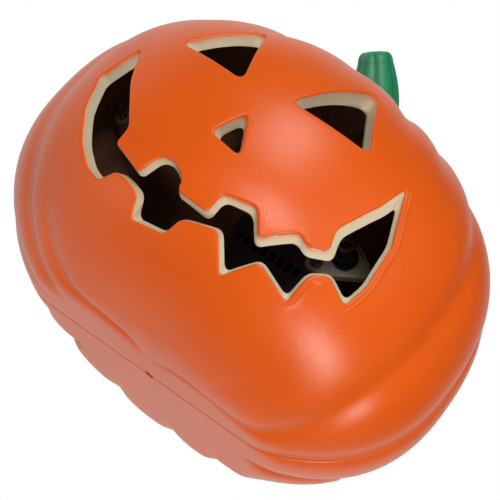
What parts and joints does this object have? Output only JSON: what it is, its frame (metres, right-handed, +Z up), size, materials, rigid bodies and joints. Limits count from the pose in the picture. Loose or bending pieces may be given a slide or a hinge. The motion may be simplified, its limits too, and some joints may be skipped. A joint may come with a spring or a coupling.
{
  "type": "light-up jack-o-lantern lamp",
  "caption": "Battery light-up jack-o-lantern of moulded plastic: a hollow ribbed pumpkin with a cut-out face, a stem, a small lamp inside, a battery door and a slide switch at the back.",
  "frame": {"origin": "on the plane that the pumpkin stands on, under the middle of the lamp's width and depth", "axes": "+X to the right of someone who looks at the face, -Y out of the face, +Z up along the pumpkin"},
  "size_m": [0.2347, 0.2514, 0.2051],
  "materials": {
    "shell_plastic": "orange paint sprayed over cream moulded plastic, soft sheen with a fine orange-peel texture; cut edges and inside left bare",
    "stem_plastic": "green paint over moulded plastic, satin",
    "unit_plastic": "dark moulded plastic, fine spark texture",
    "bracket_plastic": "bare cream moulded plastic, satin",
    "holder_plastic": "black moulded plastic, polished",
    "switch_plastic": "black moulded plastic, satin",
    "bulb_glass": "clear glass with a warm tint",
    "brass": "rolled and lightly tarnished",
    "screw_steel": "zinc plated",
    "contact_steel": "nickel plated spring steel",
    "cell_wrap": "plain wrapped steel can, semi-gloss",
    "board": "solder mask over glass fibre board",
    "component_black": "moulded component body",
    "wire_black": "insulated wire",
    "wire_red": "insulated wire"
  },
  "bodies": {
    "lamp": {"front_shell": "shell_plastic", "back_shell": "shell_plastic", "stem": "stem_plastic", "shell_screw_1": "screw_steel", "shell_screw_2": "screw_steel", "shell_screw_3": "screw_steel", "shell_screw_4": "screw_steel", "battery_case": "unit_plastic", "battery_1": "cell_wrap", "battery_2": "cell_wrap", "battery_3": "cell_wrap", "contact_spring_1": "contact_steel", "contact_spring_2": "contact_steel", "contact_spring_3": "contact_steel", "contact_plate_bridge_right": "contact_steel", "contact_plate_minus": "contact_steel", "contact_plate_plus": "contact_steel", "contact_plate_bridge_left": "contact_steel", "case_screw_1": "screw_steel", "case_screw_2": "screw_steel", "case_screw_3": "screw_steel", "case_screw_4": "screw_steel", "lamp_housing": "unit_plastic", "housing_screw_left": "screw_steel", "housing_screw_right": "screw_steel", "board_screw_left": "screw_steel", "board_screw_right": "screw_steel", "circuit_board": "board", "timer_chip": "component_black", "capacitor": "component_black", "lamp_bracket": "bracket_plastic", "bracket_screw": "screw_steel", "lamp_holder": "holder_plastic", "bulb": "bulb_glass", "bulb_base": "brass", "lamp_lead_black": "wire_black", "lamp_lead_red": "wire_red", "switch_body": "switch_plastic"},
    "door": {"battery_door": "shell_plastic", "door_screw": "screw_steel"},
    "knob": {"switch_knob": "switch_plastic"}
  },
  "joints": [
    {"name": "battery_door_hinge", "type": "hinge", "parent": "lamp", "child": "door", "pos_m": [0, 0.1142, 0.0462], "axis": [-1, 0, 0], "range_deg": [0, 90]},
    {"name": "switch_slide", "type": "slide", "parent": "lamp", "child": "knob", "axis": [0.2611, 0.7011, 0.6635], "range_m": [0, 0.004]}
  ]
}
